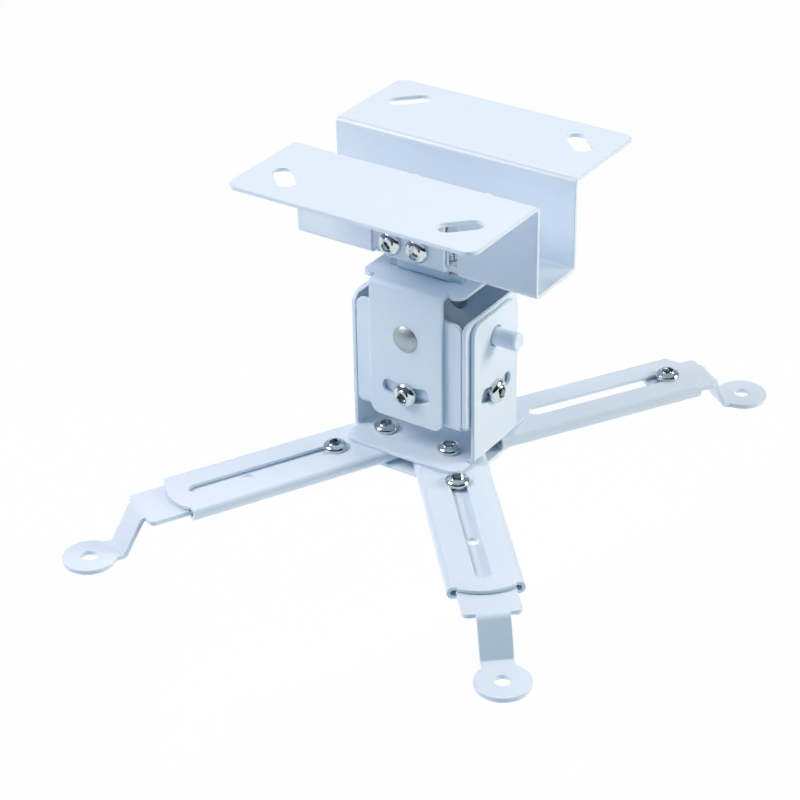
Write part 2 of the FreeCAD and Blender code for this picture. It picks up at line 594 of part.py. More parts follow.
# Tilt pin: a shouldered pin that stands out of the right wall
pin_body = rod("pin_body", ("box_length / 2", "0", "-pivot_drop"), "pin_radius",
               "side_gap + sheet + pin_reach - pin_chamfer", TO_RIGHT)
pin_end = doc.addObject("Part::Cone", "pin_end")
bind(pin_end, "Radius1", "pin_radius")
bind(pin_end, "Radius2", "pin_radius - pin_chamfer")
bind(pin_end, "Height", "pin_chamfer")
put(pin_end, (lower_outer + " + pin_reach - pin_chamfer", "0", "-pivot_drop"), TO_RIGHT)
pin_shank = rod("pin_shank", ("box_length / 2 - sheet", "0", "-pivot_drop"), "rivet_radius",
                "sheet", TO_RIGHT)
pin_tail = rod("pin_tail", ("box_length / 2 - sheet - rivet_tail_height", "0", "-pivot_drop"),
               "rivet_tail", "rivet_tail_height", TO_RIGHT)
node("tilt_pin_right", fuse("tilt_pin", [pin_body, pin_end, pin_shank, pin_tail]))

lock_low = "-pivot_drop - arc_radius"
roll_screws = []
roll_nuts = []
tilt_screws = []
tilt_nuts = []
for side, sign, outward, inward in (("front", "-", TO_FRONT, TO_REAR),
                                    ("rear", "", TO_REAR, TO_FRONT)):
    roll_screws.append(button_screw("roll_screw_" + side,
                                    ("0", sign + "yoke_depth / 2", lock_low),
                                    "lock_screw_length", outward))
    wall = "%s(yoke_depth / 2 - 2 * sheet - side_gap)" % sign
    roll_nuts.append(hexagon_nut("roll_nut_" + side, ("0", wall, lock_low), inward))
for side, sign, outward, inward in (("left", "-", TO_LEFT, TO_RIGHT),
                                    ("right", "", TO_RIGHT, TO_LEFT)):
    tilt_screws.append(button_screw("tilt_screw_" + side, (sign + lower_outer, "0", lock_low),
                                    "lock_screw_length", outward))
    wall = "%s(box_length / 2 - sheet)" % sign
    tilt_nuts.append(hexagon_nut("tilt_nut_" + side, (wall, "0", lock_low), inward))
together("roll_lock_screws", roll_screws)
together("roll_lock_nuts", roll_nuts)
together("tilt_lock_screws", tilt_screws)
together("tilt_lock_nuts", tilt_nuts)

# Lower yoke: two walls folded up from the base plate
base_low = "base_drop + sheet"
lower_u = pad("lower_u", "XZ",
              u_points("2 * " + lower_outer, "lower_top_drop", base_low, "sheet"),
              "-lower_wall / 2", "lower_wall / 2",
              [((1, 2), "fold + sheet"), ((5, 6), "fold")])
lower_outline = pad("lower_outline", "YZ", [
    ("-lower_wall / 2", "-(%s)" % base_low), ("lower_wall / 2", "-(%s)" % base_low),
    ("lower_wall / 2", "-lower_top_drop"), ("-lower_wall / 2", "-lower_top_drop")],
    "-box_length", "box_length", [((2, 3), "lower_corner")])
lower_walls = common("lower_walls", lower_u, lower_outline)
middle_half = "(%s - sheet - fold)" % lower_outer
base_half = "(box_length + base_over_box) / 2"
wall_side = "(lower_wall / 2 + relief)"
base_middle = box("base_middle", ("-" + middle_half, "-%s - 2" % wall_side,
                                  "-(%s)" % base_low),
                  (middle_half, "%s + 2" % wall_side, "-base_drop"))
base_front = pad("base_front", "XY", [
    ("-" + base_half, "-base_depth / 2"), (base_half, "-base_depth / 2"),
    (base_half, "-" + wall_side), ("-" + base_half, "-" + wall_side)],
    "-(%s)" % base_low, "-base_drop", [((0, 1), "lower_corner")])
base_rear = pad("base_rear", "XY", [
    ("-" + base_half, wall_side), (base_half, wall_side),
    (base_half, "base_depth / 2"), ("-" + base_half, "base_depth / 2")],
    "-(%s)" % base_low, "-base_drop", [((2, 3), "lower_corner")])
lower_blank = fuse("lower_blank", [lower_walls, base_middle, base_front, base_rear])
front_along = "(%s - pivot_inset_along)" % base_half
front_across = "(base_depth / 2 - pivot_inset_across)"
ARMS = (("left", "-" + front_along, "-" + front_across, "left_angle"),
        ("front", front_along, "-" + front_across, "front_angle"),
        ("rear", "(%s - rear_inset_along)" % base_half,
         "(base_depth / 2 - rear_inset_across)", "rear_angle"))
lower_cuts = [
    rod("tilt_hole_left", ("-box_length", "0", "-pivot_drop"), "rivet_radius + rivet_play",
        "box_length", TO_RIGHT),
    rod("tilt_hole_right", ("0", "0", "-pivot_drop"), "pin_radius + pin_play",
        "box_length", TO_RIGHT),
    arc_slot("tilt_slots", ("-box_length", "0", "-pivot_drop"), "arc_radius",
             "arc_half_angle", "2 * box_length", TO_RIGHT)]
for side, along, across, angle in ARMS:
    lower_cuts.append(rod("base_hole_" + side, (along, across, "-(%s) - 1" % base_low),
                          "bolt_radius + 0.2", "sheet + 2"))
node("lower_yoke", cut("lower_yoke_cut", lower_blank, lower_cuts))

# Clamp plate under the arms
clamp_drop = "(base_drop + sheet + arm_height)"
clamp_blank = pad("clamp_blank", "XY", rectangle("2 * %s + clamp_over_base" % base_half,
                                             "base_depth - clamp_under_base"),
                  "-%s - sheet" % clamp_drop, "-" + clamp_drop,
                  [((0, 1, 2, 3), "clamp_corner")])
clamp_cuts = []
pivot_screws = []
pivot_nuts = []
pivot_sleeves = []
for side, along, across, angle in ARMS:
    clamp_cuts.append(rod("clamp_hole_" + side, (along, across, "-%s - sheet - 1" % clamp_drop),
                          "bolt_radius + 0.2", "sheet + 2"))
    pivot_screws.append(button_screw("pivot_screw_" + side, (along, across, "-base_drop"),
                                     "pivot_screw_length"))
    pivot_nuts.append(hexagon_nut("pivot_nut_" + side,
                                  (along, across, "-%s - sheet" % clamp_drop), UPSIDE_DOWN))
    sleeve = rod("sleeve_blank_" + side, (along, across, "-" + clamp_drop), "sleeve_radius",
                 "arm_height - arm_sheet")
    sleeve_bore = rod("sleeve_bore_" + side, (along, across, "-%s - 1" % clamp_drop),
                      "bolt_radius + 0.2", "arm_height + 2")
    pivot_sleeves.append(cut("sleeve_" + side, sleeve, [sleeve_bore]))
node("clamp_plate", cut("clamp_plate_cut", clamp_blank, clamp_cuts))
together("arm_pivot_screws", pivot_screws)
together("arm_pivot_nuts", pivot_nuts)
together("arm_pivot_sleeves", pivot_sleeves)


# Arm: a channel with rolled sides whose lips return under the slider. It is drawn
# along +X from its pivot, with its top face at its own zero level.
slot_end = "(arm_nose - slot_to_nose)"


def arm(side, along, across, angle):
    half = "arm_width / 2"
    lip = half + " - arm_lip"
    low = "-arm_height"
    outline = [("-" + half, "0"), ("-" + half, low), ("-(%s)" % lip, low),
               ("-(%s)" % lip, low + " + arm_sheet"),
               ("-" + half + " + arm_sheet", low + " + arm_sheet"),
               ("-" + half + " + arm_sheet", "-arm_sheet"),
               (half + " - arm_sheet", "-arm_sheet"),
               (half + " - arm_sheet", low + " + arm_sheet"),
               (lip, low + " + arm_sheet"), (lip, low), (half, low), (half, "0")]
    roll = "arm_height / 2 - 0.05"
    section = pad("arm_section_" + side, "YZ", outline, "-arm_round - 1", "arm_nose + 1",
                  [((0, 1, 10, 11), roll), ((4, 5, 6, 7), roll + " - arm_sheet")])
    length = box("arm_length_" + side, ("-arm_start", "-" + half, low + " - 1"),
                 ("arm_nose - arm_nose_bulge", half, "1"))
    inner_end = rod("arm_inner_end_" + side, ("0", "0", "-arm_sheet"), "arm_round",
                    "arm_sheet + 1")
    nose_disc = rod("arm_nose_disc_" + side, ("arm_nose - arm_nose_radius", "0", "-arm_sheet"),
                    "arm_nose_radius", "arm_sheet + 1")
    nose_strip = box("arm_nose_strip_" + side,
                     ("arm_nose - arm_nose_bulge - 5", "-arm_nose_width / 2", "-arm_sheet"),
                     ("arm_nose + 1", "arm_nose_width / 2", "1"))
    nose = common("arm_nose_" + side, nose_disc, nose_strip)
    blank = common("arm_blank_" + side, section,
                   fuse("arm_plan_" + side, [length, inner_end, nose]))
    cuts = [rod("arm_pivot_hole_" + side, ("0", "0", "-arm_sheet - 1"), "bolt_radius + 0.05",
                "arm_sheet + 2"),
            slot("arm_slot_" + side, ("(arm_slot_start + %s) / 2" % slot_end, "0",
                                      "-arm_sheet - 1"),
                 slot_end + " - arm_slot_start", "screw_hole", "arm_sheet + 2")]
    whole = cut("arm_" + side, blank, cuts)
    whole.Placement = Placement(Vector(0, 0, 0), Rotation(Vector(0, 0, 1), 10))
    bind(whole, "Placement.Rotation.Angle", angle)
    put(whole, (along, across, "-base_drop - sheet"))
    return node("arm_channel_" + side, whole)


# Slider: a flat plate in the arm, stepped down to a drilled eye. It is drawn along
# +X from its screw, with its top face at its own zero level.
def slider(side, along, across, angle, bearing, reach, eye_reach, end, spare):
    plate_end = "%s - plate_to_eye%s" % (eye_reach, end)
    bend = plate_end + " + bend_past_plate"
    foot = "%s - neck_foot%s" % (eye_reach, end)
    far = "%s + eye_radius" % eye_reach
    slope = "slider_thickness * 0.55"
    profile = [("-slider_tail", "0"), (bend, "0"), (foot, "-eye_drop"),
               (far, "-eye_drop"), (far, "-eye_drop - slider_thickness"),
               ("%s - %s" % (foot, slope), "-eye_drop - slider_thickness"),
               ("%s - %s" % (bend, slope), "-slider_thickness"),
               ("-slider_tail", "-slider_thickness")]
    strip = pad("slider_strip_" + side, "XZ", profile, "-slider_width / 2", "slider_width / 2",
                [((1, 5), "slider_thickness + 1"), ((2, 6), "1")])
    plate = pad("slider_plate_" + side, "XY", [
        ("-slider_tail", "-slider_width / 2"), (plate_end, "-slider_width / 2"),
        (plate_end, "slider_width / 2"), ("-slider_tail", "slider_width / 2")],
        "-slider_thickness - 4", "1", [((0, 1, 2, 3), "slider_corner")])
    neck = box("slider_neck_" + side,
               (plate_end + " - 3", "-neck_width / 2", "-eye_drop - slider_thickness - 1"),
               (eye_reach, "neck_width / 2", "1"))
    eye = rod("slider_eye_" + side, (eye_reach, "0", "-eye_drop - slider_thickness - 1"),
              "eye_radius", "eye_drop")
    blank = common("slider_blank_" + side, strip, fuse("slider_plan_" + side,
                                                       [plate, neck, eye]))
    cuts = [rod("slider_thread_" + side, ("0", "0", "-slider_thickness - 1"), "bolt_radius",
                "slider_thickness + 2"),
            rod("eye_hole_" + side, (eye_reach, "0", "-eye_drop - slider_thickness - 1"),
                "eye_hole / 2", "slider_thickness + 2")]
    if spare:
        cuts.append(rod("spare_hole_" + side, ("spare_hole_reach", "0",
                                               "-slider_thickness - 1"),
                        "spare_hole / 2", "slider_thickness + 2"))
    whole = cut("slider_" + side, blank, cuts)
    screw = button_screw("slide_screw_of_" + side, ("0", "0", "0"), "slide_screw_length")
    for thing, drop, label in (
            (whole, "base_drop + sheet + arm_sheet + slider_play", "arm_slider_" + side),
            (screw, "base_drop + sheet", "slide_screw_" + side)):
        thing.Placement = Placement(Vector(0, 0, 0), Rotation(Vector(0, 0, 1), 10))
        bind(thing, "Placement.Rotation.Angle", bearing)
        put(thing, ("%s + (%s) * cos(%s)" % (along, reach, angle),
                    "%s + (%s) * sin(%s)" % (across, reach, angle), "-(%s)" % drop))
        node(label, thing)


for side, along, across, angle in ARMS:
    arm(side, along, across, angle)
for (side, along, across, angle), place in zip(ARMS, ("arm_slot_start + left_slide",
                                                      "arm_slot_start")):
    slider(side, along, across, angle, angle, place, "eye_reach_long", "", True)
side, along, across, angle = ARMS[2]
slider(side, along, across, angle, "rear_slider_angle", slot_end, "eye_reach_short",
       "_short", False)

doc.recompute()
for thing in doc.Objects:
    for state in ("Invalid", "Error"):
        if state in thing.State:
            raise RuntimeError("%s is %s" % (thing.Name, state))
for label, thing in NODES:
    if thing.Shape.isNull() or not thing.Shape.isValid() or thing.Shape.Volume < 1:
        raise RuntimeError("%s has no sound shape" % label)
for label, thing in NODES:
    thing.Shape.exportStep("parts/%s.step" % label)
    print("%-20s %2d solids %9.1f mm3" % (label, len(thing.Shape.Solids), thing.Shape.Volume))
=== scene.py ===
# Ceiling mount for a projector: folded white steel, bright nickel screws, dull rivets.
# The frame is in metres. The middle of the ceiling slots is the origin and Z is up.
import math

import bmesh
import bpy
from mathutils import Matrix, Vector

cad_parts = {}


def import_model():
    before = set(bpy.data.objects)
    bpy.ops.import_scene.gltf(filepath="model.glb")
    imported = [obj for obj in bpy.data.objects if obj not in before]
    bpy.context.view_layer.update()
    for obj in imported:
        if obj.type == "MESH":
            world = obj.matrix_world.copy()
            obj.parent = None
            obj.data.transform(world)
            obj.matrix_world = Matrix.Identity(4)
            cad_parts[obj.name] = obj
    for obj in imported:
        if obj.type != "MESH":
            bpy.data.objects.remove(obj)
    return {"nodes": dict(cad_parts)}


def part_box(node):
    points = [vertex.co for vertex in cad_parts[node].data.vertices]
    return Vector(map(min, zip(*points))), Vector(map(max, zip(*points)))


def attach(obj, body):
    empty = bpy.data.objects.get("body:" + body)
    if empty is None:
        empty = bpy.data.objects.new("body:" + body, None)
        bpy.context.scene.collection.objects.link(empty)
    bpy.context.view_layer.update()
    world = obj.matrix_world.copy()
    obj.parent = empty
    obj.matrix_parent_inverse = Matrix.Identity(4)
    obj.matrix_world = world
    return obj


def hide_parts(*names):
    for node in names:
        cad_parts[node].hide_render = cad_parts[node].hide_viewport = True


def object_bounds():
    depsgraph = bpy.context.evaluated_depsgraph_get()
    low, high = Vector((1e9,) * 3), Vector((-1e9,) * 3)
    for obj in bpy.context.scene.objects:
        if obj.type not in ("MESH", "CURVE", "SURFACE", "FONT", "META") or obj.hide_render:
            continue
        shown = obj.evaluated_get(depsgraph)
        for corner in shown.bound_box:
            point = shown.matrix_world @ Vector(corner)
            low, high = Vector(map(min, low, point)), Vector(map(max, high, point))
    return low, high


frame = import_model()
cad_low, cad_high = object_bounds()

MM = 0.001

# Camera: bearing, height and roll of its view in degrees, its place, lens and sensor in
# millimetres, and the nearest and farthest that it sees in metres
CAMERA_BEARING = 34.025
CAMERA_HEIGHT = 30.566
CAMERA_ROLL = -0.891
CAMERA_PLACE = (464.8, -715.3, 392.4)
CAMERA_LENS = 105.2
CAMERA_SENSOR = 36.0
CAMERA_NEAR = 0.05
CAMERA_FAR = 50.0

# Form: how finely skins, threads and rounded edges are divided, from which angle an edge is
# sharp, up to which one a face is flat, and how far apart two points may be and still be one
TURNED_SIDES = 48
THREAD_SIDES = 24
RINGS_PER_TURN = 8
END_RINGS = 4
SIXTH = math.tau / 6
SHARP_ANGLE = math.radians(38)
FLAT_ANGLE = math.radians(0.5)
TURNED_WELD = 0.002 * MM
FOLDED_WELD = 0.001 * MM
EDGE_SEGMENTS = 3


def tint(code):
    # a written sRGB colour as linear light
    parts = [int(code[i:i + 2], 16) / 255 for i in (1, 3, 5)]
    linear = [p / 12.92 if p <= 0.04045 else ((p + 0.055) / 1.055) ** 2.4 for p in parts]
    return (*linear, 1.0)


def add(tree, kind, settings=None, links=None):
    # one node with its settings, and its inputs linked or set, by name or number
    made = tree.nodes.new(kind)
    for name, value in (settings or {}).items():
        setattr(made, name, value)
    for key, value in (links or {}).items():
        if isinstance(value, bpy.types.NodeSocket):
            tree.links.new(value, made.inputs[key])
        else:
            made.inputs[key].default_value = value
    return made


def new_material(name):
    # a bare material and its tree
    material = bpy.data.materials.new(name)
    material.use_nodes = True
    material.node_tree.nodes.clear()
    return material, material.node_tree


def new_object(name, data):
    # an object at the origin, in the scene
    piece = bpy.data.objects.new(name, data)
    bpy.context.scene.collection.objects.link(piece)
    return piece


def powder_coat():
    # Polyester powder, sprayed and baked: satin, with the slight peel of melted grains
    # about 1.2 mm across and a tone that drifts a little every 45 mm.
    material, tree = new_material("polyester_powder_coat_white")
    place = add(tree, "ShaderNodeTexCoord").outputs["Object"]
    drift = add(tree, "ShaderNodeTexNoise", None,
                {"Vector": place, "Scale": 1 / (45 * MM), "Detail": 2.0})
    tone = add(tree, "ShaderNodeMix", {"data_type": "RGBA"},
               {0: drift.outputs[0], 6: tint("#E2E9F6"), 7: tint("#E7EFF9")})
    peel = add(tree, "ShaderNodeTexNoise", None,
               {"Vector": place, "Scale": 1 / (1.2 * MM), "Detail": 1.5, "Roughness": 0.45})
    gloss = add(tree, "ShaderNodeMapRange", None,
                {"Value": peel.outputs[0], "To Min": 0.27, "To Max": 0.35})
    relief = add(tree, "ShaderNodeBump", None,
                 {"Height": peel.outputs[0], "Strength": 0.35, "Distance": 0.02 * MM})
    shader = add(tree, "ShaderNodeBsdfPrincipled", None,
                 {"Base Color": tone.outputs[2], "Roughness": gloss.outputs[0],
                  "Normal": relief.outputs[0], "IOR": 1.5})
    add(tree, "ShaderNodeOutputMaterial", None, {0: shader.outputs[0]})
    return material


def bright_nickel():
    # Nickel over cold-headed steel: mirror bright, with faint forming marks 0.5 mm apart, and
    # painted shade in the socket
    material, tree = new_material("bright_nickel_plate")
    place = add(tree, "ShaderNodeTexCoord").outputs["Object"]
    marks = add(tree, "ShaderNodeTexNoise", None,
                {"Vector": place, "Scale": 1 / (0.5 * MM), "Detail": 3.0})
    tone = add(tree, "ShaderNodeMix", {"data_type": "RGBA"},
               {0: marks.outputs[0], 6: tint("#CAD3D6"), 7: tint("#DCE4E6")})
    # painted shade: the socket is coloured dark grey, as the shade that falls in it, and made
    # rougher
    socket_shade = add(tree, "ShaderNodeAttribute", {"attribute_name": "socket_shade"}).outputs["Fac"]
    socket_shaded_tone = add(tree, "ShaderNodeMix", {"data_type": "RGBA"},
                 {0: socket_shade, 6: tone.outputs[2], 7: tint("#3F484C")})
    shine = add(tree, "ShaderNodeMapRange", None,
                {"Value": marks.outputs[0], "To Min": 0.07, "To Max": 0.16})
    gloss = add(tree, "ShaderNodeMath", {"operation": "MULTIPLY_ADD"},
                {0: socket_shade, 1: 0.24, 2: shine.outputs[0]})
    relief = add(tree, "ShaderNodeBump", None,
                 {"Height": marks.outputs[0], "Strength": 0.15, "Distance": 0.01 * MM})
    shader = add(tree, "ShaderNodeBsdfPrincipled", None,
                 {"Base Color": socket_shaded_tone.outputs[2], "Roughness": gloss.outputs[0],
                  "Normal": relief.outputs[0], "Metallic": 1.0})
    add(tree, "ShaderNodeOutputMaterial", None, {0: shader.outputs[0]})
    return material


def dull_nickel():
    # Tumbled nickel on a pressed rivet: small dents about 0.7 mm across and a soft sheen
    material, tree = new_material("tumbled_nickel_rivet")
    place = add(tree, "ShaderNodeTexCoord").outputs["Object"]
    dents = add(tree, "ShaderNodeTexNoise", None,
                {"Vector": place, "Scale": 1 / (0.7 * MM), "Detail": 2.0})
    tone = add(tree, "ShaderNodeMix", {"data_type": "RGBA"},
               {0: dents.outputs[0], 6: tint("#A2AEB6"), 7: tint("#C8D2D8")})
    gloss = add(tree, "ShaderNodeMapRange", None,
                {"Value": dents.outputs[0], "To Min": 0.42, "To Max": 0.58})
    relief = add(tree, "ShaderNodeBump", None,
                 {"Height": dents.outputs[0], "Strength": 0.6, "Distance": 0.04 * MM})
    shader = add(tree, "ShaderNodeBsdfPrincipled", None,
                 {"Base Color": tone.outputs[2], "Roughness": gloss.outputs[0],
                  "Normal": relief.outputs[0], "Metallic": 1.0})
    add(tree, "ShaderNodeOutputMaterial", None, {0: shader.outputs[0]})
    return material


def zinc_plate():
    # Blue-passivated zinc: grains about 2 mm across that catch the light unevenly
    material, tree = new_material("blue_passivated_zinc")
    place = add(tree, "ShaderNodeTexCoord").outputs["Object"]
    grain = add(tree, "ShaderNodeTexVoronoi", None, {"Vector": place, "Scale": 1 / (2 * MM)})
    cloud = add(tree, "ShaderNodeTexNoise", None,
                {"Vector": place, "Scale": 1 / (3 * MM), "Detail": 3.0})
    tone = add(tree, "ShaderNodeMix", {"data_type": "RGBA"},
               {0: cloud.outputs[0], 6: tint("#A9B3BD"), 7: tint("#C3CCD4")})
    gloss = add(tree, "ShaderNodeMapRange", None,
                {"Value": grain.outputs["Distance"], "To Min": 0.24, "To Max": 0.40})
    relief = add(tree, "ShaderNodeBump", None,
                 {"Height": cloud.outputs[0], "Strength": 0.2, "Distance": 0.01 * MM})
    shader = add(tree, "ShaderNodeBsdfPrincipled", None,
                 {"Base Color": tone.outputs[2], "Roughness": gloss.outputs[0],
                  "Normal": relief.outputs[0], "Metallic": 1.0})
    add(tree, "ShaderNodeOutputMaterial", None, {0: shader.outputs[0]})
    return material


FINISHES = {
    "white_powder_coat": powder_coat(),
    "bright_nickel_screw": bright_nickel(),
    "nickel_rivet": dull_nickel(),
    "zinc_plated_steel": zinc_plate(),
}


def turned_form():
    # A point of a turned form. A ring is (radius, 0 for round or 1 for six-sided, height),
    # and the turn goes from 0 to 1 round the Z axis.
    tree = bpy.data.node_groups.new("turned_form", "GeometryNodeTree")
    tree.interface.new_socket("Ring", in_out="INPUT", socket_type="NodeSocketVector")
    tree.interface.new_socket("Turn", in_out="INPUT", socket_type="NodeSocketFloat")
    tree.interface.new_socket("Position", in_out="OUTPUT", socket_type="NodeSocketVector")
    given = add(tree, "NodeGroupInput").outputs
    ring = add(tree, "ShaderNodeSeparateXYZ", None, {0: given["Ring"]}).outputs
    angle = add(tree, "ShaderNodeMath", {"operation": "MULTIPLY"},
                {0: given["Turn"], 1: math.tau}).outputs[0]
    sixth = add(tree, "ShaderNodeMath", {"operation": "MODULO"}, {0: angle, 1: SIXTH}).outputs[0]
    from_flat = add(tree, "ShaderNodeMath", {"operation": "SUBTRACT"},
                    {0: sixth, 1: SIXTH / 2}).outputs[0]
    cosine = add(tree, "ShaderNodeMath", {"operation": "COSINE"}, {0: from_flat}).outputs[0]
    flats = add(tree, "ShaderNodeMath", {"operation": "DIVIDE"},
                {0: math.cos(SIXTH / 2), 1: cosine}).outputs[0]
    shape = add(tree, "ShaderNodeMix", None, {0: ring[1], 2: 1.0, 3: flats}).outputs[0]
    radius = add(tree, "ShaderNodeMath", {"operation": "MULTIPLY"},
                 {0: ring[0], 1: shape}).outputs[0]
    spokes = []
    for wave in ("COSINE", "SINE"):
        share = add(tree, "ShaderNodeMath", {"operation": wave}, {0: angle}).outputs[0]
        spokes.append(add(tree, "ShaderNodeMath", {"operation": "MULTIPLY"},
                          {0: radius, 1: share}).outputs[0])
    place = add(tree, "ShaderNodeCombineXYZ", None,
                {0: spokes[0], 1: spokes[1], 2: ring[2]}).outputs[0]
    add(tree, "NodeGroupOutput", None, {0: place})
    return tree


TURNED_FORM = turned_form()


def start_tree(name, sizes):
    # a tree that takes the seats of its fasteners and the named sizes, in metres
    tree = bpy.data.node_groups.new(name, "GeometryNodeTree")
    tree.interface.new_socket("Seats", in_out="INPUT", socket_type="NodeSocketGeometry")
    for size in sizes:
        tree.interface.new_socket(size, in_out="INPUT", socket_type="NodeSocketFloat")
    tree.interface.new_socket("Finish", in_out="INPUT", socket_type="NodeSocketMaterial")
    tree.interface.new_socket("Fasteners", in_out="OUTPUT", socket_type="NodeSocketGeometry")
    return tree, add(tree, "NodeGroupInput").outputs


def flat_skin(tree, rings, sides):
    # a skin before it is wound, and each point's share of its rings and of its turn
    grid = add(tree, "GeometryNodeMeshGrid", None,
               {"Size X": 1.0, "Size Y": 1.0, "Vertices X": rings, "Vertices Y": sides + 1})
    spot = add(tree, "GeometryNodeInputPosition").outputs[0]
    share = add(tree, "ShaderNodeVectorMath", {"operation": "ADD"}, {0: spot, 1: (0.5, 0.5, 0)})
    parts = add(tree, "ShaderNodeSeparateXYZ", None, {0: share.outputs[0]}).outputs
    return grid.outputs[0], parts[0], parts[1]


def wind_skin(tree, skin, ring, turn):
    # the skin wound round the Z axis, each point on its ring
    form = add(tree, "GeometryNodeGroup", {"node_tree": TURNED_FORM}, {0: ring, 1: turn})
    return add(tree, "GeometryNodeSetPosition", None,
               {"Geometry": skin, "Position": form.outputs[0]}).outputs[0]


def turn_rings(tree, rings, painted_shade_rings=0):
    # a closed skin through the rings, which run from the top middle outwards and down; the first
    # ones may lie in the socket, which the finish then darkens with painted shade
    flat, share, turn = flat_skin(tree, len(rings), TURNED_SIDES)
    order = add(tree, "ShaderNodeMath", {"operation": "MULTIPLY"},
                {0: share, 1: len(rings) - 1}).outputs[0]
    number = add(tree, "FunctionNodeFloatToInt", {"rounding_mode": "ROUND"}, {0: order})
    pick = add(tree, "GeometryNodeIndexSwitch", {"data_type": "VECTOR"})
    while len(pick.index_switch_items) < len(rings):
        pick.index_switch_items.new()
    tree.links.new(number.outputs[0], pick.inputs[0])
    for index, ring in enumerate(rings, start=1):
        tree.links.new(ring, pick.inputs[index])
    wound = wind_skin(tree, flat, pick.outputs[0], turn)
    # the rings in the socket are marked, so that the finish paints shade on them
    inside = add(tree, "ShaderNodeMath", {"operation": "LESS_THAN"},
                 {0: order, 1: painted_shade_rings - 0.5}).outputs[0]
    marked = add(tree, "GeometryNodeStoreNamedAttribute",
                 {"data_type": "FLOAT", "domain": "POINT"},
                 {"Geometry": wound, "Name": "socket_shade", "Value": inside})
    return add(tree, "GeometryNodeMergeByDistance", None,
               {"Geometry": marked.outputs[0], "Distance": TURNED_WELD}).outputs[0]


def seat_and_finish(tree, given, made):
    # one copy at each seat, its head along the seat's "way", turned by the seat's "spin"
    way = add(tree, "GeometryNodeInputNamedAttribute", {"data_type": "FLOAT_VECTOR"},
              {"Name": "way"}).outputs[0]
    spin = add(tree, "GeometryNodeInputNamedAttribute", {"data_type": "FLOAT"},
               {"Name": "spin"}).outputs[0]
    stand = add(tree, "FunctionNodeAlignRotationToVector", {"axis": "Z"}, {"Vector": way})
    twist = add(tree, "FunctionNodeAxisAngleToRotation", None,
                {"Axis": (0, 0, 1), "Angle": spin})
    turned = add(tree, "FunctionNodeRotateRotation", {"rotation_space": "LOCAL"},
                 {0: stand.outputs[0], 1: twist.outputs[0]})
    copies = add(tree, "GeometryNodeInstanceOnPoints", None,
                 {"Points": given["Seats"], "Instance": made, "Rotation": turned.outputs[0]})
    real = add(tree, "GeometryNodeRealizeInstances", None, {0: copies.outputs[0]})
    coated = add(tree, "GeometryNodeSetMaterial", None,
                 {"Geometry": real.outputs[0], "Material": given["Finish"]})
    add(tree, "NodeGroupOutput", None, {0: coated.outputs[0]})
    return tree


def threaded_shank(tree, radius, length, pitch, turns):
    # a rod down from the origin whose ridge climbs one pitch a turn, right-handed
    rings = turns * RINGS_PER_TURN + END_RINGS
    end_share = 1 / (rings - 1)
    flat, share, turn = flat_skin(tree, rings, THREAD_SIDES)
    # the first and last rings close the ends, so the rest share the length
    along = add(tree, "ShaderNodeMapRange", {"clamp": True},
                {"Value": share, "From Min": end_share, "From Max": 1 - end_share}).outputs[0]
    drop = add(tree, "ShaderNodeMath", {"operation": "MULTIPLY"}, {0: along, 1: length}).outputs[0]
    # the ridge's depth rises and falls by half a pitch in every pitch along the rod
    pitches = add(tree, "ShaderNodeMath", {"operation": "DIVIDE"}, {0: drop, 1: pitch}).outputs[0]
    phase = add(tree, "ShaderNodeMath", {"operation": "ADD"}, {0: pitches, 1: turn}).outputs[0]
    wave = add(tree, "ShaderNodeMath", {"operation": "PINGPONG"}, {0: phase, 1: 0.5}).outputs[0]
    depth = add(tree, "ShaderNodeMath", {"operation": "MULTIPLY"}, {0: wave, 1: pitch}).outputs[0]
    cut = add(tree, "ShaderNodeMath", {"operation": "SUBTRACT"}, {0: radius, 1: depth}).outputs[0]
    # the tip narrows to 0.78 of the radius
    left = add(tree, "ShaderNodeMath", {"operation": "SUBTRACT"}, {0: length, 1: drop}).outputs[0]
    tip = add(tree, "ShaderNodeMath", {"operation": "MULTIPLY_ADD"},
              {0: radius, 1: 0.78, 2: left}).outputs[0]
    ridge = add(tree, "ShaderNodeMath", {"operation": "MINIMUM"}, {0: cut, 1: tip}).outputs[0]
    # only the first and last rings lie within a quarter of a ring's share of an end
    from_end = add(tree, "ShaderNodeMath", {"operation": "PINGPONG"},
                   {0: share, 1: 0.5}).outputs[0]
    inside = add(tree, "ShaderNodeMath", {"operation": "GREATER_THAN"},
                 {0: from_end, 1: 0.25 / rings}).outputs[0]
    closed = add(tree, "ShaderNodeMath", {"operation": "MULTIPLY"},
                 {0: ridge, 1: inside}).outputs[0]
    height = add(tree, "ShaderNodeMath", {"operation": "MULTIPLY"}, {0: drop, 1: -1.0}).outputs[0]
    ring = add(tree, "ShaderNodeCombineXYZ", None, {0: closed, 1: 0.0, 2: height}).outputs[0]
    wound = wind_skin(tree, flat, ring, turn)
    return add(tree, "GeometryNodeMergeByDistance", None,
               {"Geometry": wound, "Distance": TURNED_WELD}).outputs[0]


def ring_from(tree, size, share, base):
    # a ring made of shares of a size vector, counted from a base vector
    return add(tree, "ShaderNodeVectorMath", {"operation": "MULTIPLY_ADD"},
               {0: size, 1: share, 2: base}).outputs[0]


